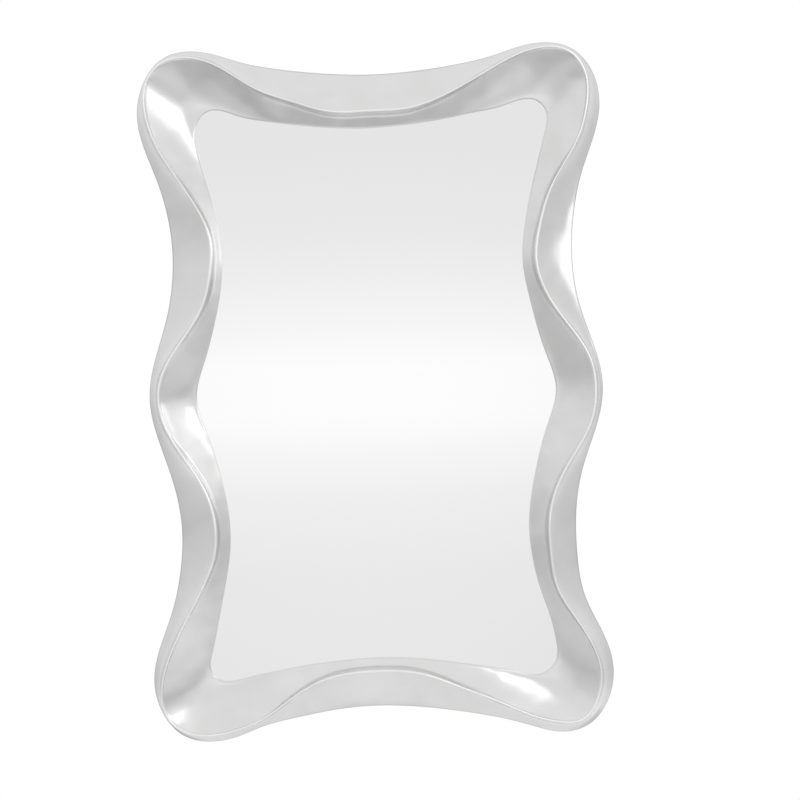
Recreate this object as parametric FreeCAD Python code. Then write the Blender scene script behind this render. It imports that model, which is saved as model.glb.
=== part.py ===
import FreeCAD, Part
import math
import os

from FreeCAD import Vector

# Wall mirror with a wavy silver frame, upright as it hangs.
# X runs to the right, Z up, and the front looks along -Y.
# The wall is the plane y = 0, and the origin is the middle of the mirror on that plane.
# A depth is a distance from the wall, so it lies at y = -depth. All lengths are millimetres.

# Overall size
width = 800.0
height = 1200.0
depth = 60.0

# Wall pads: felt discs that keep the frame off the wall
pad_thickness = 2.0
pad_radius = 11.0

# Frame moulding
edge_wall = 9.0         # outer wall, from the flat back to the foot of the cove
edge_round = 2.0        # rounding of the outer edge, where the cove begins
crest_radius = 2.6      # half width of the rolled crest
cove_slope = 40.0       # degrees to the mirror's plane; the cove rises no steeper before the crest's side
bowl_slope = 30.0       # degrees; the bowl falls no steeper once past the crest's side
lip_depth = 24.0        # front of the lip that holds the pane
lip_wall = 4.0          # from the lip's front to the pane
lip_round = 3.0         # rounding of the lip beside the pane
pane_lap = 8.0          # rebate for the pane, outside the lip
board_lap = 24.0        # rebate for the board, outside the lip

# Pane, packing and board
pane_thickness = 4.0
pane_gap = 1.0
packing_thickness = 1.5
packing_width = 14.0
packing_long = 720.0
packing_short = 400.0
board_thickness = 5.0
board_gap = 1.0

# Screws
screw_radius = 1.75
screw_gap = 0.05
screw_head_radius = 3.5
screw_head_height = 2.0
screw_bite = 7.0        # length in the moulding
pilot_spare = 0.5

# Hanger straps and rings
strap_thickness = 1.2
strap_width = 14.0
strap_length = 42.0
strap_first_screw = 21.5
strap_screw_pitch = 14.0
strap_inset = 12.5      # from the lip to the middle of a strap
ring_wire_radius = 1.25
ring_half_bar = 10.0
ring_leg = 4.0
ring_corner = 2.5
ring_running_gap = 0.07
ring_height = 2.9       # middle of the ring's bar above the board

# Outlines of the outer edge and of the lip, for one quarter of the mirror.
# Each is a share of half the width and half the height, from the top or bottom centre to the side centre.
outer_shares = (
    (0.000, 0.916), (0.192, 0.923), (0.370, 0.937), (0.524, 0.958),
    (0.646, 0.986), (0.766, 1.000), (0.886, 0.981), (0.971, 0.914),
    (1.000, 0.817), (0.966, 0.714), (0.909, 0.607), (0.871, 0.487),
    (0.862, 0.367), (0.889, 0.239), (0.953, 0.111), (0.981, 0.000),
)
lip_shares = (
    (0.000, 0.762), (0.158, 0.767), (0.312, 0.779), (0.439, 0.793),
    (0.549, 0.807), (0.639, 0.823), (0.708, 0.816), (0.750, 0.781),
    (0.747, 0.731), (0.720, 0.654), (0.685, 0.567), (0.655, 0.465),
    (0.649, 0.361), (0.676, 0.244), (0.729, 0.116), (0.776, 0.000),
)

# The sculpted form isn't quite even: how far each quarter's outlines stand out past the ones above.
# A share of half the width, a row for each quarter.
outer_nudge_shares = {
    "top_right": (.004, .003, .005, .005, 0, -.003, -.003, 0, 0, 0, 0, .002, .003, .004, .002, .003),
    "bottom_right": (-.012, -.008, -.002, -.001, -.008, 0, 0, 0, 0, -.010, -.027, -.016, -.008, -.003, 0, .003),
    "bottom_left": (-.012, -.014, -.006, -.003, 0, -.003, -.006, -.004, .002, .004, .001, 0, 0, .006, .002, .003),
    "top_left": (.004, .003, .003, .001, -.003, -.003, -.003, -.003, .002, .006, .005, .003, .006, .009, .004, .003),
}
lip_nudge_shares = {
    "top_right": (0, .003, .004, .007, .005, .010, .023, .021, .008, .002, .003, .003, -.002, .002, 0, 0),
    "bottom_right": (.003, .005, .008, .009, .008, .005, 0, -.002, .002, .004, -.004, -.004, -.002, 0, 0, 0),
    "bottom_left": (.003, .002, -.002, -.003, -.005, -.010, 0, .001, -.010, -.008, 0, .001, .001, 0, 0, 0),
    "top_left": (0, -.003, -.005, -.009, -.008, -.001, -.001, -.006, .004, .003, .002, .003, .002, .003, .003, 0),
}

# Place of the crest between the outer edge (0) and the lip (1), a row for each quarter
crest_shares = {
    "top_right": (.75, .76, .60, .37, .23, .18, .17, .22, .32, .39, .61, .73, .78, .61, .27, .24),
    "bottom_right": (.81, .77, .58, .43, .32, .29, .22, .26, .31, .44, .62, .63, .62, .47, .23, .24),
    "bottom_left": (.81, .80, .64, .30, .23, .21, .17, .13, .21, .31, .46, .69, .74, .61, .33, .26),
    "top_left": (.75, .77, .64, .51, .31, .21, .15, .12, .22, .33, .57, .81, .80, .69, .35, .26),
}

# Height of the crest, as a share of the whole depth: it rises and dips a little under the sculptor's hand
crest_height_shares = (
    0.98, 0.98, 0.96, 0.96, 0.98, 0.98, 1.00, 0.97,
    1.00, 0.98, 0.94, 0.95, 0.98, 0.94, 0.97, 0.98,
)

# Section of the cove, from the outer edge to the crest: share of its width, share of its even rise, and
# share of the steep rise on the crest's side
cove_shares = (
    (0.0, 0.0, 0.0), (0.22, 0.16, 0.0), (0.50, 0.43, 0.03), (0.78, 0.74, 0.29), (0.90, 0.88, 0.59), (0.97, 0.965, 0.86),
)

# Crest's roll, in crest radii: along the section from the crest's middle, and below its top
roll_shares = ((-1.0, 1.0), (-0.6, 0.0), (0.0, 0.0), (0.6, 0.0), (1.0, 1.0))

# Section of the bowl, from the crest to the lip: share of its width, and share of the steep fall on the
# crest's side
bowl_shares = ((0.04, 0.70), (0.10, 0.96), (0.20, 1.0), (0.40, 1.0), (0.68, 1.0), (0.88, 1.0), (1.0, 1.0))

# How hollow the rest of the bowl is at each station of a quarter (1 is an even slope)
bowl_hollows = (
    1.00, 1.00, 1.00, 1.25, 1.55, 1.60, 1.80, 1.45,
    1.20, 1.00, 1.00, 1.10, 1.25, 1.00, 1.25, 1.40,
)

# Places of fastenings, as stations of a quarter's outline
screw_stations = (1, 5, 9, 14)
strap_stations = (3, 11)     # at the top and bottom, at the sides
pad_stations = (6, 6, 6, 6)  # one for each quarter
pad_place_share = 0.42   # from the outer edge to the lip

# Depths of the layers behind the pane
back_depth = pad_thickness
edge_depth = back_depth + edge_wall
pane_front = lip_depth - lip_wall
pane_back = pane_front - pane_thickness
board_front = pane_back - packing_thickness
board_back = board_front - board_thickness
quarter_names = ("top_right", "bottom_right", "bottom_left", "top_left")
quarter_signs = ((1, 1), (1, -1), (-1, -1), (-1, 1))
stations_per_quarter = len(outer_shares) - 1
front = Vector(0, -1, 0)
settling_rounds = 60    # passes that bring a curve onto its points


def quarter_point(shares, turn):
    """A point of the outlines, in the given quarter."""
    sign_x, sign_z = quarter_signs[turn]
    return Vector(sign_x * shares[0] * width / 2, 0, sign_z * shares[1] * height / 2)


def ring_stations():
    """Stations in order round the mirror: outer point, lip point, crest's place and height, bowl's hollow."""
    ring = []
    for turn in range(4):
        name = quarter_names[turn]
        order = range(stations_per_quarter)
        if turn % 2 == 1:
            order = range(stations_per_quarter, 0, -1)
        for index in order:
            outer = quarter_point(outer_shares[index], turn)
            lip = quarter_point(lip_shares[index], turn)
            outwards = (outer - lip).normalize()
            outer = outer + outwards * (outer_nudge_shares[name][index] * width / 2)
            lip = lip + outwards * (lip_nudge_shares[name][index] * width / 2)
            crest_height = crest_height_shares[index] * depth
            ring.append((outer, lip, crest_shares[name][index], crest_height, bowl_hollows[index]))
    return ring


def at_depth(point, distance):
    """The point moved to a distance from the wall."""
    return Vector(point.x, -distance, point.z)


def poles_through(points):
    """Poles of the even closed cubic curve that passes through the points."""
    poles = list(points)
    for _ in range(settling_rounds):
        settled = []
        for index, pole in enumerate(poles):
            reached = (poles[index - 1] + pole * 4 + poles[(index + 1) % len(poles)]) * (1 / 6)
            settled.append(pole + points[index] - reached)
        poles = settled
    return poles


def closed_curve(points):
    """Smooth closed curve through the points, one even step of its parameter for each."""
    poles = poles_through(points)
    steps = len(poles) + 1
    curve = Part.BSplineCurve()
    curve.buildFromPolesMultsKnots(poles, [1] * steps, [float(i) for i in range(steps)], True, 3)
    return curve


def outer_line():
    return [station[0] for station in ring_stations()]


def lip_line(offset):
    """The lip's outline, moved outwards square to itself."""
    lips = [station[1] for station in ring_stations()]
    moved = []
    for index, point in enumerate(lips):
        along = lips[(index + 1) % len(lips)] - lips[index - 1]
        outwards = Vector(-along.z, 0, along.x).normalize()
        if outwards.dot(point) < 0:
            outwards = outwards * -1
        moved.append(point + outwards * offset)
    return moved


def flat_ring(outside, inside, distance):
    """Flat face between two closed outlines at one depth."""
    wires = []
    for line in (outside, inside):
        curve = closed_curve([at_depth(point, distance) for point in line])
        wires.append(Part.Wire(curve.toShape()))
    return Part.makeFace(wires, "Part::FaceMakerBullseye")


def straight_wall(line, low, high):
    """Wall square to the mirror's plane, from one depth to another."""
    curve = closed_curve([at_depth(point, low) for point in line])
    return curve.toShape().extrude(front * (high - low))


def plate(line, low, high):
    """Closed flat plate of the given outline, from one depth to another."""
    curve = closed_curve([at_depth(point, low) for point in line])
    return Part.Face(Part.Wire(curve.toShape())).extrude(front * (high - low))


def on_the_way(start, goal, distance):
    """The spot at a distance from the start, on the way to the goal."""
    share = distance / math.hypot(goal[0] - start[0], goal[1] - start[1])
    return (start[0] + share * (goal[0] - start[0]), start[1] + share * (goal[1] - start[1]))


def steep_share(slope, run, rise):
    """Share of a rise left over when a run climbs no steeper than the slope."""
    return max(0.0, 1 - math.tan(math.radians(slope)) * run / rise)


def section_points(station):
    """Points across the frame at one station, from the outer edge over the crest to the lip."""
    outer, lip, crest_place, crest_depth, hollow = station
    reach = lip - outer
    across = Vector(reach).normalize()
    crest_at = crest_place * reach.Length
    cove_width = crest_at - crest_radius
    cove_rise = crest_depth - crest_radius - edge_depth
    bowl_width = reach.Length - crest_at - crest_radius
    bowl_drop = crest_depth - crest_radius - lip_depth
    cove_steep = steep_share(cove_slope, cove_width, cove_rise)
    bowl_steep = steep_share(bowl_slope, bowl_width, bowl_drop)
    rows = []
    for place, even, steep in cove_shares:
        rise = (1 - cove_steep) * even + cove_steep * steep
        rows.append((place * cove_width, edge_depth + rise * cove_rise))
    for place, drop in roll_shares:
        rows.append((crest_at + place * crest_radius, crest_depth - drop * crest_radius))
    for place, steep in bowl_shares:
        at = crest_at + crest_radius + place * bowl_width
        drop = (1 - bowl_steep) * (1 - (1 - place) ** hollow) + bowl_steep * steep
        rows.append((at, crest_depth - crest_radius - drop * bowl_drop))
    rows.insert(1, on_the_way(rows[0], rows[1], edge_round))
    rows.insert(-1, on_the_way(rows[-1], rows[-2], lip_round))
    rows.insert(0, (0.0, edge_depth - edge_round))
    rows.append((reach.Length, lip_depth - lip_round))
    return [at_depth(outer + across * at, distance) for at, distance in rows]


def front_surface():
    """The sculpted front of the frame, one smooth closed surface."""
    sections = [section_points(station) for station in ring_stations()]
    row_count = len(sections[0])
    rows = [poles_through([section[row] for section in sections]) for row in range(row_count)]
    around = len(rows[0])
    grid = [[rows[row][column] for row in range(row_count)] for column in range(around)]
    inner_knots = row_count - 2
    knots_across = [float(i) for i in range(inner_knots)]
    multiples_across = [4] + [1] * (inner_knots - 2) + [4]
    surface = Part.BSplineSurface()
    surface.buildFromPolesMultsKnots(
        grid,
        [1] * (around + 1),
        multiples_across,
        [float(i) for i in range(around + 1)],
        knots_across,
        True,
        False,
        3,
        3,
    )
    return surface.toShape()


def pilot_hole(point, entry_depth):
    """Hole in the moulding for a screw driven from the back."""
    return Part.makeCylinder(
        screw_radius + screw_gap, screw_bite + pilot_spare, at_depth(point, entry_depth), front
    )


def shank_hole(point, low, length):
    """Hole for a screw's shank through a sheet."""
    return Part.makeCylinder(screw_radius + screw_gap, length, at_depth(point, low), front)


def board_screw_points():
    """Middle of the ledge under the board, at the chosen stations of all four quarters."""
    ledge = lip_line((pane_lap + board_lap) / 2)
    points = []
    for turn in range(4):
        for station in screw_stations:
            step = station if turn % 2 == 0 else stations_per_quarter - station
            points.append(ledge[turn * stations_per_quarter + step])
    return points


def hanger_places():
    """Each hanger: name, middle of its ring's bar, and the way from the bar along the strap."""
    line = lip_line(strap_inset)
    total = len(line)
    lead = strap_first_screw + strap_screw_pitch / 2
    end_station, side_station = strap_stations
    side_right = line[side_station]
    side_left = line[total - side_station]
    end_top = line[total - end_station]
    end_bottom = line[2 * stations_per_quarter + end_station]
    down = Vector(0, 0, -1)
    inward = Vector(1, 0, 0)
    return (
        ("left", side_left - down * lead, down),
        ("right", side_right - down * lead, down),
        ("top", end_top - inward * lead, inward),
        ("bottom", end_bottom - inward * lead, inward),
    )


def strap_screw_points(bar, along):
    first = bar + along * strap_first_screw
    return [first, first + along * strap_screw_pitch]


def frame_moulding():
    """One rigid moulding: sculpted front, straight outer wall, flat back and two-step rebate."""
    outer = outer_line()
    lip = lip_line(0)
    pane_edge = lip_line(pane_lap)
    board_edge = lip_line(board_lap)
    faces = [
        front_surface(),
        straight_wall(outer, back_depth, edge_depth - edge_round),
        flat_ring(outer, board_edge, back_depth),
        straight_wall(board_edge, back_depth, board_front),
        flat_ring(board_edge, pane_edge, board_front),
        straight_wall(pane_edge, board_front, pane_front),
        flat_ring(pane_edge, lip, pane_front),
        straight_wall(lip, pane_front, lip_depth - lip_round),
    ]
    shell = Part.makeShell(faces)
    shell.sewShape()
    body = Part.Solid(shell)
    if body.Volume < 0:
        body.reverse()
    points = list(board_screw_points())
    for name, bar, along in hanger_places():
        points.extend(strap_screw_points(bar, along))
    holes = [pilot_hole(point, board_front) for point in points]
    return body.cut(Part.makeCompound(holes))


def mirror_glass():
    """Float glass pane, silvered on its back, cut to the lip's outline with a lap all round."""
    return plate(lip_line(pane_lap - pane_gap), pane_back, pane_front)


def backing_board():
    """Board on the outer step of the rebate, drilled for its own screws and for the hangers' screws."""
    board = plate(lip_line(board_lap - board_gap), board_back, board_front)
    points = list(board_screw_points())
    for name, bar, along in hanger_places():
        points.extend(strap_screw_points(bar, along))
    holes = [shank_hole(point, board_back, board_thickness) for point in points]
    return board.cut(Part.makeCompound(holes))


def packing_strip(center, size_x, size_z):
    """Foam strip that presses the pane against the lip."""
    corner = Vector(center.x - size_x / 2, -board_front - packing_thickness, center.z - size_z / 2)
    return Part.makeBox(size_x, packing_thickness, size_z, corner)


def packing_strips():
    """Two long strips at the sides, clear of the waist's pane edge, and two short ones at the ends."""
    waist = min(abs(point.x) for point in lip_line(0) if abs(point.z) < packing_long / 2)
    end = min(abs(point.z) for point in lip_line(0) if abs(point.x) < packing_short / 2)
    side_x = waist - packing_width / 2
    end_z = end - packing_width / 2
    return {
        "packing_strip_top": packing_strip(Vector(0, 0, end_z), packing_short, packing_width),
        "packing_strip_bottom": packing_strip(Vector(0, 0, -end_z), packing_short, packing_width),
        "packing_strip_left": packing_strip(Vector(-side_x, 0, 0), packing_width, packing_long),
        "packing_strip_right": packing_strip(Vector(side_x, 0, 0), packing_width, packing_long),
    }


def screw(point, head_depth, length):
    """Pan-head screw driven from the back: its head lies behind the sheet that it holds."""
    shank = Part.makeCylinder(screw_radius, length, at_depth(point, head_depth), front)
    head = Part.makeCylinder(screw_head_radius, screw_head_height, at_depth(point, head_depth), front * -1)
    rim = [edge for edge in head.Edges if abs(edge.BoundBox.YMax - edge.BoundBox.YMin) < screw_gap]
    top = [edge for edge in rim if edge.BoundBox.YMax > screw_head_height / 2 - head_depth]
    head = head.makeFillet(screw_head_height / 2, top)
    return shank.fuse(head)


def hanger_strap(bar, along):
    """Steel strap folded round the ring's bar, flat on the board, with a hole for each screw."""
    sideways = along.cross(front)
    inner = ring_wire_radius + ring_running_gap
    bar_point = at_depth(bar, board_back - ring_height)
    foot = at_depth(bar, board_back) - sideways * (strap_width / 2)
    end = foot + along * (strap_length - strap_width / 2)
    far = end + sideways * strap_width
    tip = at_depth(bar, board_back) + along * strap_length
    rim = [
        Part.LineSegment(foot, end).toShape(),
        Part.Arc(end, tip, far).toShape(),
        Part.LineSegment(far, foot + sideways * strap_width).toShape(),
        Part.LineSegment(foot + sideways * strap_width, foot).toShape(),
    ]
    sheet = Part.Face(Part.Wire(rim)).extrude(front * -strap_thickness)
    start = bar_point - sideways * (strap_width / 2)
    knuckle = Part.makeCylinder(inner + strap_thickness, strap_width, start, sideways)
    bore = Part.makeCylinder(inner, strap_width, start, sideways)
    holes = [
        shank_hole(point, board_back - strap_thickness, strap_thickness)
        for point in strap_screw_points(bar, along)
    ]
    return sheet.fuse(knuckle).cut(Part.makeCompound([bore] + holes))


def hanger_ring(bar, along):
    """D-shaped wire ring: a straight bar in the strap's fold and a round bow that takes the wall hook."""
    sideways = along.cross(front)
    center = at_depth(bar, board_back - ring_height)

    def place(side, down):
        return center + sideways * side + along * down

    bend = ring_corner * (1 - math.sqrt(0.5))
    bow = ring_half_bar
    shoulder = ring_corner + ring_leg
    path = Part.Wire([
        Part.LineSegment(place(0, 0), place(bow - ring_corner, 0)).toShape(),
        Part.Arc(place(bow - ring_corner, 0), place(bow - bend, bend), place(bow, ring_corner)).toShape(),
        Part.LineSegment(place(bow, ring_corner), place(bow, shoulder)).toShape(),
        Part.Arc(place(bow, shoulder), place(0, shoulder + bow), place(-bow, shoulder)).toShape(),
        Part.LineSegment(place(-bow, shoulder), place(-bow, ring_corner)).toShape(),
        Part.Arc(place(-bow, ring_corner), place(-bow + bend, bend), place(-bow + ring_corner, 0)).toShape(),
        Part.LineSegment(place(-bow + ring_corner, 0), place(0, 0)).toShape(),
    ])
    profile = Part.Wire(Part.makeCircle(ring_wire_radius, place(0, 0), sideways))
    return path.makePipeShell([profile], True, True)


def wall_pad(turn):
    """Felt disc on the flat back, near a corner."""
    outer = quarter_point(outer_shares[pad_stations[turn]], turn)
    lip = quarter_point(lip_shares[pad_stations[turn]], turn)
    middle = outer + (lip - outer) * pad_place_share
    return Part.makeCylinder(pad_radius, pad_thickness, middle, front)


def build():
    nodes = {
        "frame_moulding": frame_moulding(),
        "mirror_glass": mirror_glass(),
        "backing_board": backing_board(),
    }
    nodes.update(packing_strips())
    strap_screws = []
    for name, bar, along in hanger_places():
        nodes["hanger_strap_" + name] = hanger_strap(bar, along)
        nodes["hanger_ring_" + name] = hanger_ring(bar, along)
        strap_back = board_back - strap_thickness
        length = strap_thickness + board_thickness + screw_bite
        strap_screws.extend(screw(point, strap_back, length) for point in strap_screw_points(bar, along))
    nodes["hanger_screws"] = Part.makeCompound(strap_screws)
    board_length = board_thickness + screw_bite
    nodes["board_screws"] = Part.makeCompound(
        [screw(point, board_back, board_length) for point in board_screw_points()]
    )
    for turn, name in enumerate(quarter_names):
        nodes["wall_pad_" + name] = wall_pad(turn)
    return nodes


os.makedirs("parts", exist_ok=True)
for node, shape in build().items():
    shape.exportStep("parts/" + node + ".step")
    box = shape.optimalBoundingBox(False)
    size = [round(side, 1) for side in (box.XLength, box.YLength, box.ZLength)]
    print(node, len(shape.Solids), "solids, valid", shape.isValid(), "volume", round(shape.Volume), "box", size)
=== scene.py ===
import math

import bmesh
import bpy
from mathutils import Matrix, Quaternion, Vector


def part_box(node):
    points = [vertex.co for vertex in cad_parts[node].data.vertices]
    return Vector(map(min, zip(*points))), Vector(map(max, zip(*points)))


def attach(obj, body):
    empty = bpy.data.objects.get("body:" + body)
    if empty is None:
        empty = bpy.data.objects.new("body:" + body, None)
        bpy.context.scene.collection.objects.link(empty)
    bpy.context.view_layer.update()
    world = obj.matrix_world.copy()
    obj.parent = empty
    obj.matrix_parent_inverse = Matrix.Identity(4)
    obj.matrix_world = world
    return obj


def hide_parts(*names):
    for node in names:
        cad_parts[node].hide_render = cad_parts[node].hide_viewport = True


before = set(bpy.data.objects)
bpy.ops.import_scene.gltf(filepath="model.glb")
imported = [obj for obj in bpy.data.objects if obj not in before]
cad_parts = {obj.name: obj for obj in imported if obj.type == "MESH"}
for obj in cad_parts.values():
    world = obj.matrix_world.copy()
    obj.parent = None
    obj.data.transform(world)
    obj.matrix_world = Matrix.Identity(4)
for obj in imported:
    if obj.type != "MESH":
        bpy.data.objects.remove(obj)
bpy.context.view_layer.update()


# Frame moulding: one piece cast in hard polyurethane, with a rolled crest that wanders between the
# outer edge and the lip, a cove outside it and a spoon-shaped bowl inside it. Its front is sprayed
# with silver lacquer; its back keeps its sanded grey primer.
half_width = 0.400
half_height = 0.600
frame_depth = 0.060
back_depth = 0.002      # the felt pads hold the back this far off the wall
edge_depth = 0.011      # foot of the cove, above the straight outer wall
outer_round = 0.0020    # rounding where the wall turns into the cove
crest_radius = 0.0026
cove_slope = 40         # degrees; the cove rises no steeper before the crest's side
bowl_slope = 30         # degrees; the bowl falls no steeper once past the crest's side
lip_depth = 0.024
lip_round = 0.0030
pane_front = 0.020
pane_back = 0.016
board_front = 0.0145
board_back = 0.0095
pane_lap = 0.008        # from the lip out to the rebate of the pane
board_lap = 0.024       # from the lip out to the rebate of the board
edge_wear = 0.0008      # sharp edges worn by sanding and lacquer
sharp_angle = 40        # degrees; edges of any piece that turn by more are rounded
weld_gap = 0.00001      # points closer than this are joined

# Outer edge and lip of one quarter, from the top or bottom centre to the side centre, in shares of
# the half width and the half height.
outer_shares = (
    (0.000, 0.916), (0.192, 0.923), (0.370, 0.937), (0.524, 0.958),
    (0.646, 0.986), (0.766, 1.000), (0.886, 0.981), (0.971, 0.914),
    (1.000, 0.817), (0.966, 0.714), (0.909, 0.607), (0.871, 0.487),
    (0.862, 0.367), (0.889, 0.239), (0.953, 0.111), (0.981, 0.000),
)
lip_shares = (
    (0.000, 0.762), (0.158, 0.767), (0.312, 0.779), (0.439, 0.793),
    (0.549, 0.807), (0.639, 0.823), (0.708, 0.816), (0.750, 0.781),
    (0.747, 0.731), (0.720, 0.654), (0.685, 0.567), (0.655, 0.465),
    (0.649, 0.361), (0.676, 0.244), (0.729, 0.116), (0.776, 0.000),
)
stations_per_quarter = len(outer_shares) - 1

# The sculptor's hand left each quarter a little different: how far its edges stand out past those
# above, in shares of the half width, and where the crest runs between the outer edge (0) and the
# lip (1).
quarters = (
    {"sign": (1, 1),
     "outer": (.004, .003, .005, .005, 0, -.003, -.003, 0, 0, 0, 0, .002, .003, .004, .002, .003),
     "lip": (0, .003, .004, .007, .005, .010, .023, .021, .008, .002, .003, .003, -.002, .002, 0, 0),
     "crest": (.75, .76, .60, .37, .23, .18, .17, .22, .32, .39, .61, .73, .78, .61, .27, .24)},
    {"sign": (1, -1),
     "outer": (-.012, -.008, -.002, -.001, -.008, 0, 0, 0, 0, -.010, -.027, -.016, -.008, -.003, 0, .003),
     "lip": (.003, .005, .008, .009, .008, .005, 0, -.002, .002, .004, -.004, -.004, -.002, 0, 0, 0),
     "crest": (.81, .77, .58, .43, .32, .29, .22, .26, .31, .44, .62, .63, .62, .47, .23, .24)},
    {"sign": (-1, -1),
     "outer": (-.012, -.014, -.006, -.003, 0, -.003, -.006, -.004, .002, .004, .001, 0, 0, .006, .002, .003),
     "lip": (.003, .002, -.002, -.003, -.005, -.010, 0, .001, -.010, -.008, 0, .001, .001, 0, 0, 0),
     "crest": (.81, .80, .64, .30, .23, .21, .17, .13, .21, .31, .46, .69, .74, .61, .33, .26)},
    {"sign": (-1, 1),
     "outer": (
         .004, .003, .003, .001, -.003, -.003, -.003, -.003,
         .002, .006, .005, .003, .006, .009, .004, .003,
     ),
     "lip": (0, -.003, -.005, -.009, -.008, -.001, -.001, -.006, .004, .003, .002, .003, .002, .003, .003, 0),
     "crest": (.75, .77, .64, .51, .31, .21, .15, .12, .22, .33, .57, .81, .80, .69, .35, .26)},
)
crest_height_shares = (
    0.98, 0.98, 0.96, 0.96, 0.98, 0.98, 1.00, 0.97,
    1.00, 0.98, 0.94, 0.95, 0.98, 0.94, 0.97, 0.98,
)

# The section: cove (share of its width, of its even rise and of the steep rise on the crest's side),
# rolled crest (in crest radii, along and below its top) and bowl (share of its width and of the steep
# fall on the crest's side), and how hollow the rest of the bowl is at each station (1 is even).
cove_shares = (
    (0.0, 0.0, 0.0), (0.22, 0.16, 0.0), (0.50, 0.43, 0.03),
    (0.78, 0.74, 0.29), (0.90, 0.88, 0.59), (0.97, 0.965, 0.86),
)
roll_shares = ((-1.0, 1.0), (-0.6, 0.0), (0.0, 0.05), (0.6, 0.12), (1.0, 1.0))
bowl_shares = ((0.04, 0.70), (0.10, 0.96), (0.20, 1.0), (0.40, 1.0), (0.68, 1.0), (0.88, 1.0), (1.0, 1.0))
bowl_hollows = (
    1.00, 1.00, 1.00, 1.25, 1.55, 1.60, 1.80, 1.45,
    1.20, 1.00, 1.00, 1.10, 1.25, 1.00, 1.25, 1.40,
)


def quarter_point(shares, sign):
    return Vector((sign[0] * shares[0] * half_width, 0, sign[1] * shares[1] * half_height))


def frame_stations():
    """Stations clockwise from the top centre: outer point, lip point, crest's place and depth, hollow."""
    stations = []
    for turn, quarter in enumerate(quarters):
        order = range(stations_per_quarter) if turn % 2 == 0 else range(stations_per_quarter, 0, -1)
        for index in order:
            outer = quarter_point(outer_shares[index], quarter["sign"])
            lip = quarter_point(lip_shares[index], quarter["sign"])
            outwards = (outer - lip).normalized()
            outer += outwards * quarter["outer"][index] * half_width
            lip += outwards * quarter["lip"][index] * half_width
            crest_depth = crest_height_shares[index] * frame_depth
            stations.append((outer, lip, quarter["crest"][index], crest_depth, bowl_hollows[index]))
    return stations


def at_depth(point, depth):
    return Vector((point.x, -depth, point.z))


def lip_line(offset):
    """The lip's outline, moved outwards square to itself."""
    lips = [station[1] for station in frame_stations()]
    line = []
    for index, point in enumerate(lips):
        along = lips[(index + 1) % len(lips)] - lips[index - 1]
        outwards = Vector((-along.z, 0, along.x)).normalized()
        if outwards.dot(point) < 0:
            outwards.negate()
        line.append(point + outwards * offset)
    return line


def on_the_way(start, goal, distance):
    share = distance / math.hypot(goal[0] - start[0], goal[1] - start[1])
    return (start[0] + share * (goal[0] - start[0]), start[1] + share * (goal[1] - start[1]))


def steep_share(slope, run, rise):
    """Share of a rise left over when a run climbs no steeper than the slope."""
    return max(0.0, 1 - math.tan(math.radians(slope)) * run / rise)


def section_points(station):
    """Points across the front at one station, from the outer edge over the crest to the lip."""
    outer, lip, crest_place, crest_depth, hollow = station
    across = (lip - outer).normalized()
    reach = (lip - outer).length
    crest_at = crest_place * reach
    top = crest_depth - crest_radius
    cove_width, cove_rise = crest_at - crest_radius, top - edge_depth
    cove_steep = steep_share(cove_slope, cove_width, cove_rise)
    rows = []
    for place, even, steep in cove_shares:
        rise = (1 - cove_steep) * even + cove_steep * steep
        rows.append((place * cove_width, edge_depth + rise * cove_rise))
    for place, drop in roll_shares:
        rows.append((crest_at + place * crest_radius, crest_depth - drop * crest_radius))
    bowl_width, bowl_drop = reach - crest_at - crest_radius, top - lip_depth
    bowl_steep = steep_share(bowl_slope, bowl_width, bowl_drop)
    for place, steep in bowl_shares:
        drop = (1 - bowl_steep) * (1 - (1 - place) ** hollow) + bowl_steep * steep
        rows.append((crest_at + crest_radius + place * bowl_width, top - drop * bowl_drop))
    rows.insert(1, on_the_way(rows[0], rows[1], outer_round))
    rows.insert(-1, on_the_way(rows[-1], rows[-2], lip_round))
    rows.insert(0, (0.0, edge_depth - outer_round))
    rows.append((reach, lip_depth - lip_round))
    return [at_depth(outer + across * at, depth) for at, depth in rows]


def finer_line(line):
    """The same smooth closed line with twice as many points."""
    finer = []
    for index, point in enumerate(line):
        following = line[(index + 1) % len(line)]
        finer += [(line[index - 1] + point * 6 + following) / 8, (point + following) / 2]
    return finer


def cage_through(points):
    """Closed cage whose smoothed line passes through the points, with twice as many of its own."""
    cage = list(points)
    count = len(cage)
    rounds = 60
    for _ in range(rounds):
        cage = [
            cage[i] + points[i] - (cage[i - 1] + cage[i] * 4 + cage[(i + 1) % count]) / 6
            for i in range(count)
        ]
    return finer_line(cage)


def points_of(parts):
    return [part for part in parts if isinstance(part, bmesh.types.BMVert)]


def edges_of(parts):
    return [part for part in parts if isinstance(part, bmesh.types.BMEdge)]


def start_ring(mesh, line):
    """Closed ring of edges; each of its points keeps its number along the line."""
    number = mesh.verts.layers.int.new("number")
    # Float layer of painted light on the silver: a painted highlight on the crest, a painted shade on the
    # outer edge.
    mesh.verts.layers.float.new("painted_light")
    mesh.edges.layers.float.new("crease_edge")
    points = []
    for index, point in enumerate(line):
        vertex = mesh.verts.new(point)
        vertex[number] = index
        points.append(vertex)
    return [mesh.edges.new((points[index - 1], vertex)) for index, vertex in enumerate(points)]


def crease(mesh, edges, sharp):
    for edge in edges:
        edge[mesh.edges.layers.float["crease_edge"]] = 1.0 if sharp else 0.0


def next_ring(mesh, ring, line, sharp, finish=0, painted_light=0.0):
    """Extrudes the ring, lays it on the next line of the section, gives the new band a finish and gives its
    points their painted light (1 a painted highlight, -1 a painted shade).
    """
    number = mesh.verts.layers.int["number"]
    painted_light_mark = mesh.verts.layers.float["painted_light"]
    grown = bmesh.ops.extrude_edge_only(mesh, edges=ring)["geom"]
    for point in points_of(grown):
        point.co = line[point[number]]
        point[painted_light_mark] = painted_light
    for part in grown:
        if isinstance(part, bmesh.types.BMFace):
            part.material_index = finish
    crease(mesh, edges_of(grown), sharp)
    return edges_of(grown)


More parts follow.
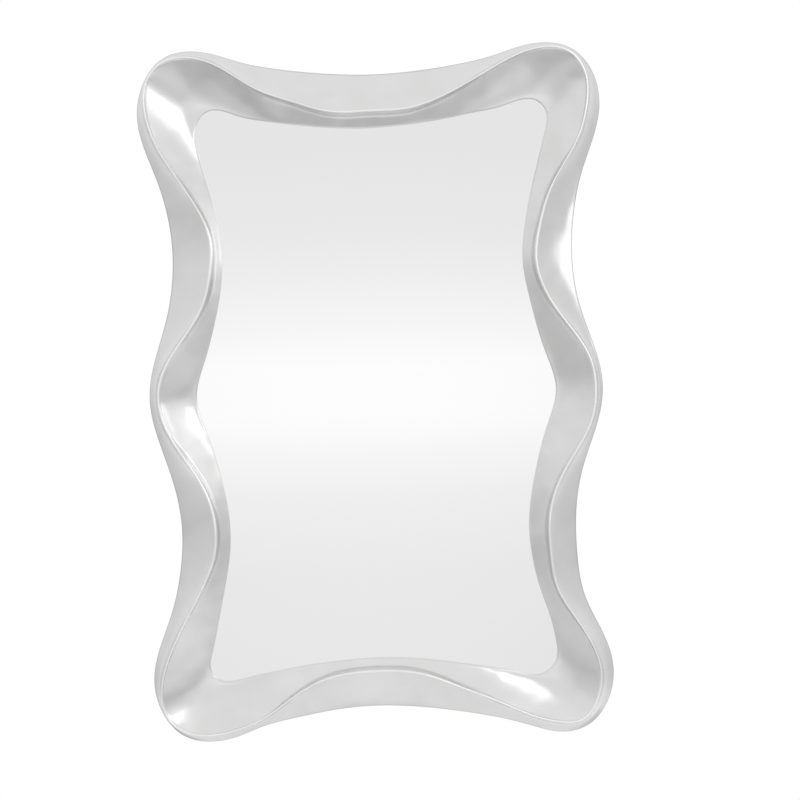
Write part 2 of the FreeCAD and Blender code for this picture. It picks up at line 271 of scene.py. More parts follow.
def add_object(name, data):
    thing = bpy.data.objects.new(name, data)
    bpy.context.scene.collection.objects.link(thing)
    return thing


def smooth_piece(mesh, name, *finishes):
    """Turns a finished bmesh into a piece with its finishes, outwards and smooth."""
    bmesh.ops.recalc_face_normals(mesh, faces=mesh.faces[:])
    for face in mesh.faces:
        face.smooth = True
    data = bpy.data.meshes.new(name)
    mesh.to_mesh(data)
    mesh.free()
    for finish in finishes:
        data.materials.append(finish)
    return add_object(name, data)


def smooth_form(piece):
    """Draws a piece's cage out into its curved form."""
    form = piece.modifiers.new("smooth_form", "SUBSURF")
    form.levels = form.render_levels = 2


def round_edges(piece, width, segments=2):
    """Small round on every sharp edge."""
    bevel = piece.modifiers.new("worn_edges", "BEVEL")
    bevel.width = width
    bevel.segments = segments
    bevel.limit_method = "ANGLE"
    bevel.angle_limit = math.radians(sharp_angle)
    bevel.harden_normals = True


def set_stops(ramp, stops):
    """Gives a colour ramp its stops, each a place and a colour."""
    for spare in range(len(stops) - 2):
        ramp.elements.new(0.5)
    for element, (place, colour) in zip(ramp.elements, stops):
        element.position = place
        element.color = (*colour, 1.0)


class Finish:
    """A surface finish built from nodes that read the piece's own coordinates."""

    def __init__(self, name, **steady):
        self.material = bpy.data.materials.new(name)
        self.material.use_nodes = True
        self.nodes = self.material.node_tree.nodes
        self.links = self.material.node_tree.links
        self.shader = self.nodes["Principled BSDF"]
        self.place = self.nodes.new("ShaderNodeTexCoord").outputs["Object"]
        for socket, value in steady.items():
            self.shader.inputs[socket.replace("_", " ")].default_value = value

    def stretch(self, x, y, z):
        """The piece's coordinates, drawn out along an axis for a grain or a brushed surface."""
        mapping = self.nodes.new("ShaderNodeMapping")
        mapping.inputs["Scale"].default_value = (x, y, z)
        self.links.new(self.place, mapping.inputs["Vector"])
        return mapping.outputs["Vector"]

    def mottle(self, size, detail=3.0, rough=0.5, place=None):
        """Cloudy variation; size is the width of a cloud in metres."""
        noise = self.nodes.new("ShaderNodeTexNoise")
        noise.inputs["Scale"].default_value = 1 / size
        noise.inputs["Detail"].default_value = detail
        noise.inputs["Roughness"].default_value = rough
        self.links.new(place or self.place, noise.inputs["Vector"])
        return noise.outputs["Fac"]

    def shades(self, value, *stops):
        """Colour by a value: stops are (place, colour)."""
        ramp = self.nodes.new("ShaderNodeValToRGB")
        set_stops(ramp.color_ramp, stops)
        self.links.new(value, ramp.inputs["Fac"])
        return ramp.outputs["Color"]

    def tinted(self, colour, tint, amount=1.0):
        """A colour multiplied by a tint, more or less; the node's colour sockets go by number."""
        both = self.nodes.new("ShaderNodeMix")
        both.data_type = "RGBA"
        both.blend_type = "MULTIPLY"
        both.inputs["Factor"].default_value = amount
        self.links.new(colour, both.inputs[6])
        self.links.new(tint, both.inputs[7])
        return both.outputs[2]

    def span(self, value, low, high, from_low=0.3, from_high=0.7):
        """A value spread between two limits."""
        spread = self.nodes.new("ShaderNodeMapRange")
        spread.inputs["From Min"].default_value = from_low
        spread.inputs["From Max"].default_value = from_high
        spread.inputs["To Min"].default_value = low
        spread.inputs["To Max"].default_value = high
        self.links.new(value, spread.inputs["Value"])
        return spread.outputs["Result"]

    def relief(self, value, height, under=None):
        """Bumps of a height in metres, laid over those under it."""
        bump = self.nodes.new("ShaderNodeBump")
        bump.inputs["Distance"].default_value = height
        bump.inputs["Strength"].default_value = 1.0
        self.links.new(value, bump.inputs["Height"])
        if under:
            self.links.new(under, bump.inputs["Normal"])
        return bump.outputs["Normal"]

    def wear(self, **sockets):
        """Plugs values into the shader and gives back the material."""
        for socket, value in sockets.items():
            self.links.new(value, self.shader.inputs[socket.replace("_", " ")])
        return self.material


def silver_lacquer():
    """Metal-flake lacquer under a thin clear coat, with a painted highlight along the crest and a painted
    shade along the outer edge.
    """
    finish = Finish("silver_lacquer", Metallic=0.97, Coat_Weight=0.2, Coat_Roughness=0.06)
    painted_light = finish.nodes.new("ShaderNodeAttribute")
    painted_light.attribute_name = "painted_light"
    # Painted light: the base colour is darkened on the outer edge as a painted shade and lifted on the crest
    # as a painted highlight.
    painted_light_mark = finish.shades(
        finish.span(painted_light.outputs["Fac"], low=0.0, high=1.0, from_low=-1.0, from_high=1.0),
        (0.0, (0.60, 0.60, 0.59)), (0.5, (1.0, 1.0, 1.0)), (1.0, (1.18, 1.18, 1.18)),
    )
    flakes = finish.shades(finish.mottle(0.06), (0.30, (0.77, 0.77, 0.767)), (0.70, (0.81, 0.81, 0.81)))
    sanding = finish.relief(finish.mottle(0.06, detail=0.8), height=0.0032)
    return finish.wear(
        Base_Color=finish.tinted(flakes, painted_light_mark),
        Roughness=finish.span(finish.mottle(0.02), low=0.19, high=0.25),
        Normal=finish.relief(finish.mottle(0.0018, detail=1.0), height=0.000012, under=sanding),
    )


def bare_back():
    """Cloudy grey primer, gritty, scratched and dull from sanding."""
    finish = Finish("bare_back", Metallic=0.0, Specular_IOR_Level=0.35)
    clouds = finish.mottle(0.045, detail=6.0, rough=0.6)
    grit = finish.mottle(0.0012, detail=4.0, rough=0.7)
    scratches = finish.mottle(0.004, detail=2.0, place=finish.stretch(0.15, 1, 1))
    return finish.wear(
        Base_Color=finish.shades(clouds, (0.32, (0.43, 0.43, 0.42)), (0.68, (0.56, 0.56, 0.54))),
        Roughness=finish.span(grit, low=0.62, high=0.82),
        Normal=finish.relief(grit, height=0.00010, under=finish.relief(scratches, height=0.00012)),
    )


stations = frame_stations()
front_rows = list(zip(*[section_points(station) for station in stations]))
back_edge = cage_through([at_depth(station[0], back_depth) for station in stations])

# The first two rows are the outer edge, which gets a painted shade. The crest's middle comes after
# them and the cove, and a painted highlight lies there and on the row at each side of it.
edge_rows = 2
crest_row = edge_rows + len(cove_shares) + len(roll_shares) // 2
mesh = bmesh.new()
ring = start_ring(mesh, back_edge)
crease(mesh, ring, sharp=True)
for index, row in enumerate(front_rows):
    sharp = index in (0, len(front_rows) - 1)
    # Painted shade on the outer edge rows (-1), painted highlight on the crest rows (1), none elsewhere (0).
    painted_light = -1.0 if index < edge_rows else float(abs(index - crest_row) <= 1)
    ring = next_ring(mesh, ring, cage_through(row), sharp, painted_light=painted_light)
for offset, depth, finish in (
    (0, pane_front, 0), (pane_lap, pane_front, 1), (pane_lap, board_front, 1),
    (board_lap, board_front, 1), (board_lap, back_depth, 1),
):
    line = cage_through([at_depth(point, depth) for point in lip_line(offset)])
    ring = next_ring(mesh, ring, line, sharp=True, finish=finish)
next_ring(mesh, ring, back_edge, sharp=True, finish=1)
bmesh.ops.remove_doubles(mesh, verts=mesh.verts[:], dist=weld_gap)
moulding = smooth_piece(mesh, "silver_moulding", silver_lacquer(), bare_back())
smooth_form(moulding)
round_edges(moulding, edge_wear)
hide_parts("frame_moulding")
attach(moulding, "mirror")


# Mirror pane: 4 mm float glass, silvered on its back and sealed there with grey paint, cut to the
# wavy outline with a lap under the lip. It lies in the inner rebate, its front against the lip.
paint_full = pane_back + 0.0002     # behind this depth there is nothing but paint
paint_gone = pane_back + 0.0004     # before this one there is none


def silvered_glass():
    """Clear face over the silver; the paint shows only on the back."""
    finish = Finish("silvered_glass", Coat_Weight=0.5, Coat_Roughness=0.0, Coat_IOR=1.52)
    split = finish.nodes.new("ShaderNodeSeparateXYZ")
    finish.links.new(finish.place, split.inputs["Vector"])
    painted = finish.span(split.outputs["Y"], low=0.0, high=1.0, from_low=-paint_gone, from_high=-paint_full)
    haze = finish.mottle(0.25, detail=2.0)
    sides = finish.nodes.new("ShaderNodeMix")
    finish.links.new(painted, sides.inputs["Factor"])
    finish.links.new(finish.span(haze, low=0.004, high=0.012), sides.inputs["A"])
    sides.inputs["B"].default_value = 0.5
    silver = finish.nodes.new("ShaderNodeMath")
    silver.operation = "SUBTRACT"
    silver.inputs[0].default_value = 1.0
    finish.links.new(painted, silver.inputs[1])
    return finish.wear(
        Base_Color=finish.shades(painted, (0.0, (0.94, 0.94, 0.94)), (1.0, (0.30, 0.31, 0.32))),
        Metallic=silver.outputs["Value"],
        Roughness=sides.outputs["Result"],
    )


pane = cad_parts["mirror_glass"]
pane.data.materials.clear()
pane.data.materials.append(silvered_glass())


# Packing strips: closed-cell foam cut from a roll, laid between the pane and the board so that the
# glass is held without play. Two long ones at the sides and two short ones at the ends.
strip_round = 0.0005
cells_per_metre = 1400


def packing_foam():
    """Charcoal foam, pitted by its cells."""
    finish = Finish("packing_foam", Metallic=0.0, Roughness=0.85, Specular_IOR_Level=0.2)
    cells = finish.nodes.new("ShaderNodeTexVoronoi")
    cells.inputs["Scale"].default_value = cells_per_metre
    finish.links.new(finish.place, cells.inputs["Vector"])
    return finish.wear(
        Base_Color=finish.shades(finish.mottle(0.01), (0.3, (0.10, 0.10, 0.11)), (0.7, (0.15, 0.15, 0.16))),
        Normal=finish.relief(cells.outputs["Distance"], height=0.00012),
    )


foam = packing_foam()
for side in ("top", "bottom", "left", "right"):
    low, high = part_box("packing_strip_" + side)
    mesh = bmesh.new()
    bmesh.ops.create_cube(mesh, size=1.0)
    bmesh.ops.scale(mesh, vec=high - low, verts=mesh.verts[:])
    bmesh.ops.translate(mesh, vec=(high + low) / 2, verts=mesh.verts[:])
    bmesh.ops.bevel(
        mesh, geom=mesh.edges[:], offset=strip_round, affect="EDGES", segments=3, profile=0.5, material=-1,
    )
    strip = smooth_piece(mesh, "foam_strip_" + side, foam)
    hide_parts("packing_strip_" + side)
    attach(strip, "mirror")


# Backing board: 5 mm fibreboard, sawn to the outline of the outer rebate with a little play all
# round. The screws through its rim hold it and the pane behind it.
board_gap = 0.001
board_round = 0.0004


def fibreboard():
    """Pressed wood fibres: pale and dark flecks in a warm brown, with a faint pressed sheen."""
    finish = Finish("fibreboard", Metallic=0.0, Specular_IOR_Level=0.3)
    fibres = finish.mottle(0.0022, detail=8.0, rough=0.75, place=finish.stretch(1.0, 1.0, 0.45))
    clouds = finish.mottle(0.09, detail=4.0)
    flecks = finish.shades(
        fibres, (0.30, (0.30, 0.19, 0.105)), (0.52, (0.42, 0.29, 0.17)), (0.72, (0.55, 0.41, 0.27)),
    )
    patches = finish.shades(clouds, (0.3, (0.78, 0.76, 0.74)), (0.7, (1.0, 1.0, 1.0)))
    return finish.wear(
        Base_Color=finish.tinted(flecks, patches, amount=0.7),
        Roughness=finish.span(clouds, low=0.50, high=0.66),
        Normal=finish.relief(fibres, height=0.00006),
    )


def thicken(mesh, faces, thickness):
    """Gives a flat face its thickness, towards the wall."""
    grown = bmesh.ops.extrude_face_region(mesh, geom=faces, use_keep_orig=True)["geom"]
    bmesh.ops.translate(mesh, vec=(0, thickness, 0), verts=points_of(grown))


mesh = bmesh.new()
rim = cage_through([at_depth(point, board_front) for point in lip_line(board_lap - board_gap)])
outline = start_ring(mesh, finer_line(finer_line(rim)))
sheet = bmesh.ops.contextual_create(mesh, geom=outline)["faces"]
thicken(mesh, sheet, board_front - board_back)
board = smooth_piece(mesh, "fibre_board", fibreboard())
round_edges(board, board_round)
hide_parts("backing_board")
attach(board, "mirror")


# Board screws: zinc-plated pan-head screws with a cross recess, driven from the back through the
# board's rim into pilot holes in the moulding, four to each quarter.
screw_radius = 0.00175
screw_head_radius = 0.0035
screw_head_height = 0.0020
screw_head_crown = 0.0001       # how far the head's middle stands above the ends of its recess
screw_shank_share = 0.8         # of the length; the rest tapers to the tip
screw_tip_radius = 0.0002
screw_bite = 0.007              # into the moulding
screw_twist = 37                # degrees from one screw to the next
recess_reach = 0.0018           # from the middle to the corners at an arm's end
recess_half = recess_reach * math.sin(math.radians(15))    # half an arm's width
recess_edge = 0.00006           # narrow band that keeps the recess's edge crisp
recess_taper = 0.00016          # how far the recess's walls lean in
recess_depth = 0.0011
screw_stations = (1, 5, 9, 14)


def zinc_plate(name, warm, dull):
    """Bright zinc plating, a little clouded, with fine draw lines."""
    finish = Finish(name, Metallic=1.0)
    lines = finish.mottle(0.0009, detail=3.0, place=finish.stretch(1, 1, 0.12))
    dark, pale = [(grey + warm, grey + warm / 2, grey - warm) for grey in (0.58, 0.70)]
    return finish.wear(
        Base_Color=finish.shades(finish.mottle(0.003, detail=4.0), (0.3, dark), (0.7, pale)),
        Roughness=finish.span(lines, low=dull, high=dull + 0.14),
        Normal=finish.relief(lines, height=0.000012),
    )


def recessed_top(mesh):
    """Top of a pan head at the origin, with a cross recess sunk into it."""
    bmesh.ops.create_grid(mesh, x_segments=3, y_segments=3, size=1.0)
    facing_back = Matrix.Rotation(math.radians(-90), 3, "X")
    bmesh.ops.rotate(mesh, verts=mesh.verts[:], cent=(0, 0, 0), matrix=facing_back)
    along_arm = math.sqrt(recess_reach ** 2 - recess_half ** 2)
    corner = recess_reach / math.sqrt(2)
    for vertex in mesh.verts:
        arm_x, arm_z = abs(vertex.co.x) < 0.5, abs(vertex.co.z) < 0.5
        reach_x = recess_half if arm_x else (along_arm if arm_z else corner)
        reach_z = recess_half if arm_z else (along_arm if arm_x else corner)
        height = screw_head_height - (0.0 if arm_x and arm_z else screw_head_crown)
        vertex.co = (math.copysign(reach_x, vertex.co.x), height, math.copysign(reach_z, vertex.co.z))
    cross = []
    for face in mesh.faces:
        middle = face.calc_center_median()
        if min(abs(middle.x), abs(middle.z)) < recess_half / 2:
            cross.append(face)
    boundary = [edge for edge in mesh.edges if edge.is_boundary]
    bmesh.ops.inset_region(mesh, faces=cross, thickness=recess_edge, depth=0.0)
    bmesh.ops.inset_region(mesh, faces=cross, thickness=recess_taper, depth=-recess_depth)
    return boundary


def drive_screws(name, points, seat, length, finish):
    """Screws driven at the points with their heads on the sheet at that depth, each turned its own way."""
    mesh = bmesh.new()
    boundary = recessed_top(mesh)
    head_side = ((0.0027, 0.00170), (0.0033, 0.00110), (screw_head_radius, 0.00045), (screw_head_radius, 0.0))
    shank = (
        (screw_radius, 0.0), (screw_radius, -length * screw_shank_share), (screw_tip_radius, -length),
    )
    for radius, height in head_side + shank:
        grown = bmesh.ops.extrude_edge_only(mesh, edges=boundary)["geom"]
        boundary = edges_of(grown)
        for point in points_of(grown):
            away = Vector((point.co.x, 0, point.co.z)).normalized() * radius
            point.co = (away.x, height, away.z)
    bmesh.ops.contextual_create(mesh, geom=boundary)
    one = mesh.verts[:] + mesh.edges[:] + mesh.faces[:]
    for index, point in enumerate(points):
        driven = points_of(bmesh.ops.duplicate(mesh, geom=one)["geom"])
        twist = Matrix.Rotation(math.radians(screw_twist * index), 3, "Y")
        bmesh.ops.rotate(mesh, verts=driven, cent=(0, 0, 0), matrix=twist)
        bmesh.ops.translate(mesh, verts=driven, vec=at_depth(point, seat))
    bmesh.ops.delete(mesh, geom=points_of(one), context="VERTS")
    screws = smooth_piece(mesh, name, finish)
    smooth_form(screws)
    return screws


ledge = lip_line((pane_lap + board_lap) / 2)
board_screw_points = []
for turn in range(len(quarters)):
    for station in screw_stations:
        step = station if turn % 2 == 0 else stations_per_quarter - station
        board_screw_points.append(ledge[turn * stations_per_quarter + step])
screw_zinc = zinc_plate("screw_zinc", warm=0.0, dull=0.24)
board_screws = drive_screws(
    "pan_screws_board", board_screw_points, board_back, board_front - board_back + screw_bite, screw_zinc,
)
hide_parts("board_screws")
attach(board_screws, "mirror")


# Hanger straps: strips of 1.2 mm zinc-plated steel, rounded at one end and curled round a ring's
# bar at the other, screwed flat on the board with two screws each.
strap_thickness = 0.0012
strap_width = 0.014
strap_length = 0.042
strap_round = 0.0002
strap_screw_places = (0.0215, 0.0355)
ring_wire_radius = 0.00125
ring_height = 0.0029            # middle of the ring's bar above the board's back
ring_play = 0.00007             # between the ring's bar and the curl
curl_turn = 300                 # degrees
curl_steps = 30
curl_tail = 0.0012              # straight on from the curl
joggle_length = 0.0016          # where the strap steps down to the board
end_step = 10                   # degrees, round the strap's free end
hang_turns = {"left": 0, "right": 0, "top": -90, "bottom": -90}    # degrees


def hanger_bar(side):
    """Middle of the ring's bar, on the board's back."""
    low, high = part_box("hanger_ring_" + side)
    if hang_turns[side]:
        return Vector((low.x + ring_wire_radius, -board_back, (low.z + high.z) / 2))
    return Vector(((low.x + high.x) / 2, -board_back, high.z - ring_wire_radius))


def hang(mesh, side):
    """Turns a hanger made at the origin, hanging down, to lie where it belongs on the board."""
    turned = Matrix.Rotation(math.radians(hang_turns[side]), 3, "Y")
    bmesh.ops.rotate(mesh, verts=mesh.verts[:], cent=(0, 0, 0), matrix=turned)
    bmesh.ops.translate(mesh, verts=mesh.verts[:], vec=hanger_bar(side))


def stretch_edges(mesh, edges, move, widen=1.0):
    """Extrudes a ring of edges by a move, and widens or narrows it across the strap."""
    grown = bmesh.ops.extrude_edge_only(mesh, edges=edges)["geom"]
    bmesh.ops.translate(mesh, verts=points_of(grown), vec=move)
    bmesh.ops.scale(mesh, verts=points_of(grown), vec=(widen, 1, 1))
    return edges_of(grown)


curl_low = ring_height - ring_wire_radius - ring_play - strap_thickness
curl_high = curl_low + strap_thickness
flat_length = strap_length - curl_tail - joggle_length - strap_width / 2
strap_zinc = zinc_plate("strap_zinc", warm=0.015, dull=0.28)
for side in hang_turns:
    mesh = bmesh.new()
    corners = [
        mesh.verts.new((x * strap_width / 2, y, 0))
        for x, y in ((-1, curl_low), (1, curl_low), (1, curl_high), (-1, curl_high))
    ]
    root = [mesh.edges.new((corners[index - 1], corner)) for index, corner in enumerate(corners)]
    curl = bmesh.ops.spin(
        mesh, geom=corners + root, cent=(0, ring_height, 0), axis=(1, 0, 0),
        angle=math.radians(curl_turn), steps=curl_steps, use_duplicate=False,
    )["geom_last"]
    bmesh.ops.contextual_create(mesh, geom=edges_of(curl))
    tongue = stretch_edges(mesh, root, (0, 0, -curl_tail))
    tongue = stretch_edges(mesh, tongue, (0, -curl_low, -joggle_length))
    tongue = stretch_edges(mesh, tongue, (0, 0, -flat_length))
    for degrees in range(end_step, 90 + end_step, end_step):
        angle, before = math.radians(degrees), math.radians(degrees - end_step)
        drop = (math.sin(angle) - math.sin(before)) * strap_width / 2
        tongue = stretch_edges(mesh, tongue, (0, 0, -drop), widen=math.cos(angle) / math.cos(before))
    bmesh.ops.contextual_create(mesh, geom=tongue)
    hang(mesh, side)
    strap = smooth_piece(mesh, "ring_strap_" + side, strap_zinc)
    round_edges(strap, strap_round)
    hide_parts("hanger_strap_" + side)
    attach(strap, "mirror")


# Hanger rings: D-shaped rings bent from 2.5 mm wire, nickel plated, welded in the bar that turns in
# the strap's curl. They lie over the straps until the mirror hangs on them.
ring_half_bar = 0.010
ring_leg = 0.004
ring_corner = 0.0025
ring_straight = ring_half_bar - ring_corner
wire_sides = 20
corner_steps = 8
bow_steps = 36


def nickel_plate():
    """Warm, bright nickel plating with faint rubbing marks."""
    finish = Finish("nickel_plate", Metallic=1.0)
    clouds = finish.mottle(0.004, detail=3.0)
    marks = finish.mottle(0.0006, detail=2.0)
    return finish.wear(
        Base_Color=finish.shades(clouds, (0.3, (0.66, 0.64, 0.61)), (0.7, (0.74, 0.72, 0.69))),
        Roughness=finish.span(marks, low=0.12, high=0.24),
        Normal=finish.relief(marks, height=0.000006),
    )


def open_end(parts):
    """The points and edges of a wire's end, without the faces behind it."""
    return points_of(parts) + edges_of(parts)


def bend_wire(mesh, end, center, angle, steps):
    """Carries the wire's end round a bend in the ring's plane."""
    return open_end(bmesh.ops.spin(
        mesh, geom=end, cent=center, axis=(0, 1, 0), angle=math.radians(angle), steps=steps,
        use_duplicate=False,
    )["geom_last"])


def draw_wire(mesh, end, move):
    """Carries the wire's end straight on."""
    end = open_end(bmesh.ops.extrude_edge_only(mesh, edges=edges_of(end))["geom"])
    bmesh.ops.translate(mesh, verts=points_of(end), vec=move)
    return end


nickel = nickel_plate()
for side in hang_turns:
    mesh = bmesh.new()
    bmesh.ops.create_circle(
        mesh, cap_ends=False, radius=ring_wire_radius, segments=wire_sides,
        matrix=Matrix.Translation((0, ring_height, 0)) @ Matrix.Rotation(math.radians(90), 4, "Y"),
    )
    wire = mesh.verts[:] + mesh.edges[:]
    wire = draw_wire(mesh, wire, (ring_straight, 0, 0))
    wire = bend_wire(mesh, wire, (ring_straight, ring_height, -ring_corner), 90, corner_steps)
    wire = draw_wire(mesh, wire, (0, 0, -ring_leg))
    wire = bend_wire(mesh, wire, (0, ring_height, -ring_corner - ring_leg), 180, bow_steps)
    wire = draw_wire(mesh, wire, (0, 0, ring_leg))
    wire = bend_wire(mesh, wire, (-ring_straight, ring_height, -ring_corner), 90, corner_steps)
    draw_wire(mesh, wire, (ring_straight, 0, 0))
    bmesh.ops.remove_doubles(mesh, verts=mesh.verts[:], dist=weld_gap)
    hang(mesh, side)
    wire_ring = smooth_piece(mesh, "wire_ring_" + side, nickel)
    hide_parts("hanger_ring_" + side)
    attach(wire_ring, "ring_" + side)


# Hanger screws: the same pan-head screws, two through each strap and the board into the moulding.
hanger_screw_points = []
for side in hang_turns:
    along = Vector((1, 0, 0)) if hang_turns[side] else Vector((0, 0, -1))
    hanger_screw_points += [hanger_bar(side) + along * place for place in strap_screw_places]
hanger_screws = drive_screws(
    "pan_screws_hangers", hanger_screw_points, board_back - strap_thickness,
    board_front - board_back + strap_thickness + screw_bite, screw_zinc,
)
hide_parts("hanger_screws")
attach(hanger_screws, "mirror")


# Wall pads: self-adhesive discs punched from 2 mm wool felt, one near each corner of the back, that
# keep the frame off the wall and let the air through.
pad_sides = 64
pad_round = 0.0004


def wool_felt():
    """Matted fibres, paler where they catch the light."""
    finish = Finish(
        "wool_felt", Metallic=0.0, Roughness=0.95, Sheen_Weight=0.5, Sheen_Roughness=0.4,
        Specular_IOR_Level=0.1,
    )
    fibres = finish.mottle(0.0009, detail=6.0, rough=0.8, place=finish.stretch(1.0, 1.0, 0.35))
    crossing = finish.mottle(0.0008, detail=6.0, rough=0.8, place=finish.stretch(0.35, 1.0, 1.0))
    return finish.wear(
        Base_Color=finish.shades(fibres, (0.3, (0.16, 0.15, 0.14)), (0.7, (0.30, 0.29, 0.27))),
        Normal=finish.relief(crossing, height=0.00030, under=finish.relief(fibres, height=0.00030)),
    )


felt = wool_felt()
for corner in ("top_right", "bottom_right", "bottom_left", "top_left"):
    low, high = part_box("wall_pad_" + corner)
    mesh = bmesh.new()
    bmesh.ops.create_circle(
        mesh, cap_ends=True, radius=(high.x - low.x) / 2, segments=pad_sides,
        matrix=Matrix.Translation(((low.x + high.x) / 2, low.y, (low.z + high.z) / 2))
        @ Matrix.Rotation(math.radians(90), 4, "X"),
    )
    thicken(mesh, mesh.faces[:], high.y - low.y)
    pad = smooth_piece(mesh, "felt_pad_" + corner, felt)
    round_edges(pad, pad_round, segments=3)
    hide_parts("wall_pad_" + corner)
    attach(pad, "mirror")


# Floor: pale and plain, well below the hanging mirror, fading into the white ground. The silver and
# the pane don't mirror it, and it can't be seen from below.
floor_height = -0.98
floor_radius = 0.85
fade_radius = 0.45      # the floor starts to fade here
floor_sides = 64
floor_colour = (0.9, 0.9, 0.9, 1.0)

mesh = bmesh.new()
bmesh.ops.create_circle(
    mesh, cap_ends=True, radius=floor_radius, segments=floor_sides,
    matrix=Matrix.Translation((0, 0, floor_height)),
)
data = bpy.data.meshes.new("floor")
mesh.to_mesh(data)
mesh.free()
floor = add_object("floor", data)
paint = bpy.data.materials.new("floor_paint")
paint.use_nodes = True
nodes, links = paint.node_tree.nodes, paint.node_tree.links
nodes.remove(nodes["Principled BSDF"])
matt = nodes.new("ShaderNodeBsdfDiffuse")
matt.inputs["Color"].default_value = floor_colour
clear = nodes.new("ShaderNodeBsdfTransparent")
far = nodes.new("ShaderNodeVectorMath")
far.operation = "LENGTH"
links.new(nodes.new("ShaderNodeTexCoord").outputs["Object"], far.inputs[0])
fade = nodes.new("ShaderNodeMapRange")
fade.inputs["From Min"].default_value = fade_radius
fade.inputs["From Max"].default_value = floor_radius
links.new(far.outputs["Value"], fade.inputs["Value"])
rays = nodes.new("ShaderNodeLightPath")
side_seen = nodes.new("ShaderNodeNewGeometry")
gone = fade.outputs["Result"]
for unseen in (rays.outputs["Is Glossy Ray"], side_seen.outputs["Backfacing"]):
    either = nodes.new("ShaderNodeMath")
    either.operation = "MAXIMUM"
    links.new(gone, either.inputs[0])
    links.new(unseen, either.inputs[1])
    gone = either.outputs["Value"]
blend = nodes.new("ShaderNodeMixShader")
links.new(gone, blend.inputs["Fac"])
links.new(matt.outputs["BSDF"], blend.inputs[1])
links.new(clear.outputs["BSDF"], blend.inputs[2])
links.new(blend.outputs["Shader"], nodes["Material Output"].inputs["Surface"])
data.materials.append(paint)


# Studio light: a pale room whose eight walls each have their own shade, brightest at eye level in
# front, with a high softbox in front on the right, a lower one beside it and a weak, tall one to fill
# the gap between them. The camera sees white.
wall_heights = (-90, -70, -50, -35, -12, 12, 50, 90)    # degrees above eye level
back_wall = (0.90, 0.85, 0.85, 1.00, 0.75, 0.85, 0.90, 0.90)
room_walls = {    # by degrees from the front towards the viewer's right
    0: (0.90, 0.90, 0.50, 0.60, 0.85, 0.85, 0.90, 0.90),
    45: (0.90, 0.80, 0.55, 0.95, 0.55, 0.80, 0.90, 0.90),
    90: (0.90, 0.75, 0.60, 0.90, 0.65, 0.75, 0.90, 0.90),
    135: back_wall,
    180: back_wall,
    225: back_wall,
    270: (0.90, 0.60, 0.45, 0.80, 0.65, 0.80, 0.90, 0.90),
    315: (0.90, 0.75, 0.45, 0.70, 0.55, 0.85, 0.90, 0.90),
}

# More stops on the wall in front: degrees above eye level, and shade.
front_glow = ((-8, 0.87), (-5, 0.92), (-2, 1.04), (0, 1.04), (3, 0.93), (5, 0.87), (9, 0.83))

# What turns the cosine of the angle to a wall into the wall's share: the shares of two neighbours
# add up to one all the way between them.
wall_share_steps = (
    ("MAXIMUM", 0.0), ("POWER", 2.0), ("MULTIPLY", 2.0), ("SUBTRACT", 1.0), ("MAXIMUM", 0.0), ("POWER", 2.0),
)

world = bpy.data.worlds.new("pale_room")
bpy.context.scene.world = world
world.use_nodes = True
nodes, links = world.node_tree.nodes, world.node_tree.links
view = nodes.new("ShaderNodeTexCoord").outputs["Generated"]
height = nodes.new("ShaderNodeSeparateXYZ")
links.new(view, height.inputs["Vector"])
upward = nodes.new("ShaderNodeMapRange")
upward.inputs["From Min"].default_value = -1.0
links.new(height.outputs["Z"], upward.inputs["Value"])
level = nodes.new("ShaderNodeVectorMath")
level.operation = "MULTIPLY"
level.inputs[1].default_value = (1, 1, 0)
links.new(view, level.inputs[0])
turned = nodes.new("ShaderNodeVectorMath")
turned.operation = "NORMALIZE"
links.new(level.outputs["Vector"], turned.inputs[0])
room = None
for degrees, shades in room_walls.items():
    wall = nodes.new("ShaderNodeValToRGB")
    stops = sorted([*zip(wall_heights, shades), *(() if degrees else front_glow)])
    set_stops(wall.color_ramp, [
        ((1 + math.sin(math.radians(stop_height))) / 2, (shade, shade, shade)) for stop_height, shade in stops
    ])
    links.new(upward.outputs["Result"], wall.inputs["Fac"])
    facing = nodes.new("ShaderNodeVectorMath")
    facing.operation = "DOT_PRODUCT"
    facing.inputs[1].default_value = (math.sin(math.radians(degrees)), -math.cos(math.radians(degrees)), 0)
    links.new(turned.outputs["Vector"], facing.inputs[0])
    share = facing.outputs["Value"]
    for operation, number in wall_share_steps:
        step = nodes.new("ShaderNodeMath")
        step.operation = operation
        links.new(share, step.inputs[0])
        step.inputs[1].default_value = number
        share = step.outputs["Value"]
    added = nodes.new("ShaderNodeVectorMath")
    added.operation = "MULTIPLY_ADD"
    links.new(wall.outputs["Color"], added.inputs[0])
    links.new(share, added.inputs[1])
    if room:
        links.new(room, added.inputs[2])
    room = added.outputs["Vector"]
rays = nodes.new("ShaderNodeLightPath")
ground = nodes.new("ShaderNodeMix")
ground.data_type = "RGBA"
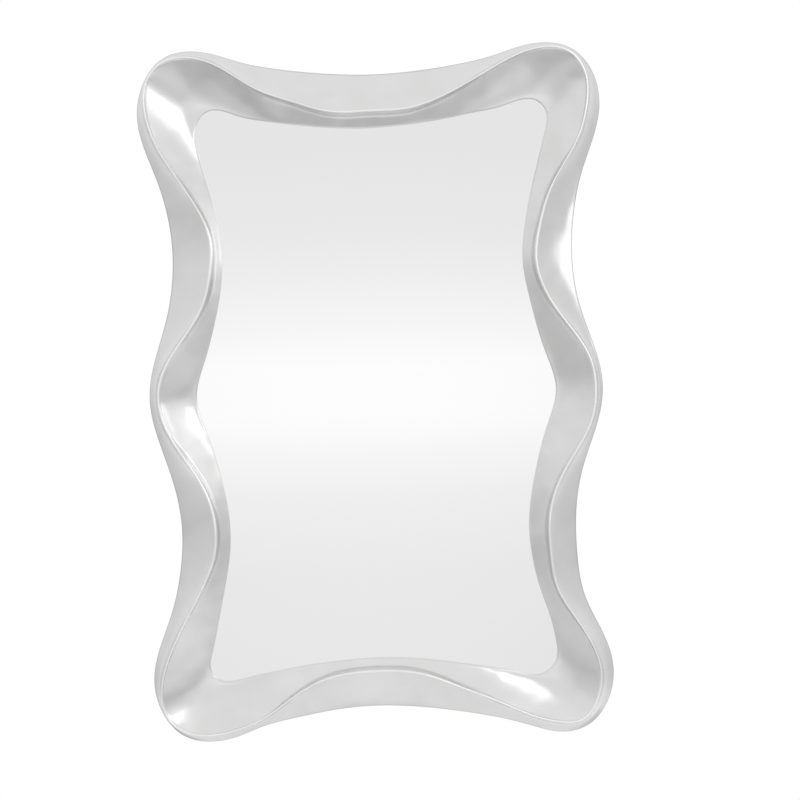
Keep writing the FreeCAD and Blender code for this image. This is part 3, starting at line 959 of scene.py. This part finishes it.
ground.inputs[7].default_value = (1.0, 1.0, 1.0, 1.0)
links.new(rays.outputs["Is Camera Ray"], ground.inputs["Factor"])
links.new(room, ground.inputs[6])
links.new(ground.outputs[2], nodes["Background"].inputs["Color"])


def softbox(name, place, width, height, brightness):
    """Softbox turned to the mirror; brightness 1 is as bright as white paper."""
    lamp = bpy.data.lights.new(name, "AREA")
    lamp.shape = "RECTANGLE"
    lamp.size = width
    lamp.size_y = height
    lamp.energy = brightness * math.pi * width * height
    box = add_object(name, lamp)
    box.location = place
    box.rotation_mode = "QUATERNION"
    box.rotation_quaternion = (-Vector(place)).to_track_quat("-Z", "Y")


softbox("softbox_right", (1.45, -2.40, 1.00), width=1.15, height=1.10, brightness=0.85)
softbox("softbox_side", (1.60, -0.70, 0.47), width=0.60, height=0.90, brightness=0.70)
softbox("softbox_fill", (1.70, -1.95, 0.75), width=1.20, height=1.70, brightness=0.22)


# Camera: nearly straight in front, a little to the left and above the middle, held a little aslant.
# Its lens and shift come from the focal length and the middle of the view in the picture's pixels.
camera_target = Vector((0, -0.03, 0))
camera_distance = 2.5
camera_azimuth = math.radians(-0.523)
camera_elevation = math.radians(1.045)
camera_roll = math.radians(-1.605)
sensor_width = 36
picture_pixels = 800
focal_pixels = 1451.3
middle_pixels = (376.7, 393.3)    # from the left and from the top
camera = add_object("camera", bpy.data.cameras.new("camera"))
back = Vector((
    math.sin(camera_azimuth) * math.cos(camera_elevation),
    -math.cos(camera_azimuth) * math.cos(camera_elevation),
    math.sin(camera_elevation),
))
camera.location = camera_target + back * camera_distance
camera.rotation_mode = "QUATERNION"
camera.rotation_quaternion = (-back).to_track_quat("-Z", "Y") @ Quaternion((0, 0, 1), camera_roll)
camera.data.sensor_width = sensor_width
camera.data.lens = focal_pixels * sensor_width / picture_pixels
camera.data.shift_x = (picture_pixels / 2 - middle_pixels[0]) / picture_pixels
camera.data.shift_y = (middle_pixels[1] - picture_pixels / 2) / picture_pixels
bpy.context.scene.camera = camera
bpy.context.scene.view_settings.view_transform = "Standard"
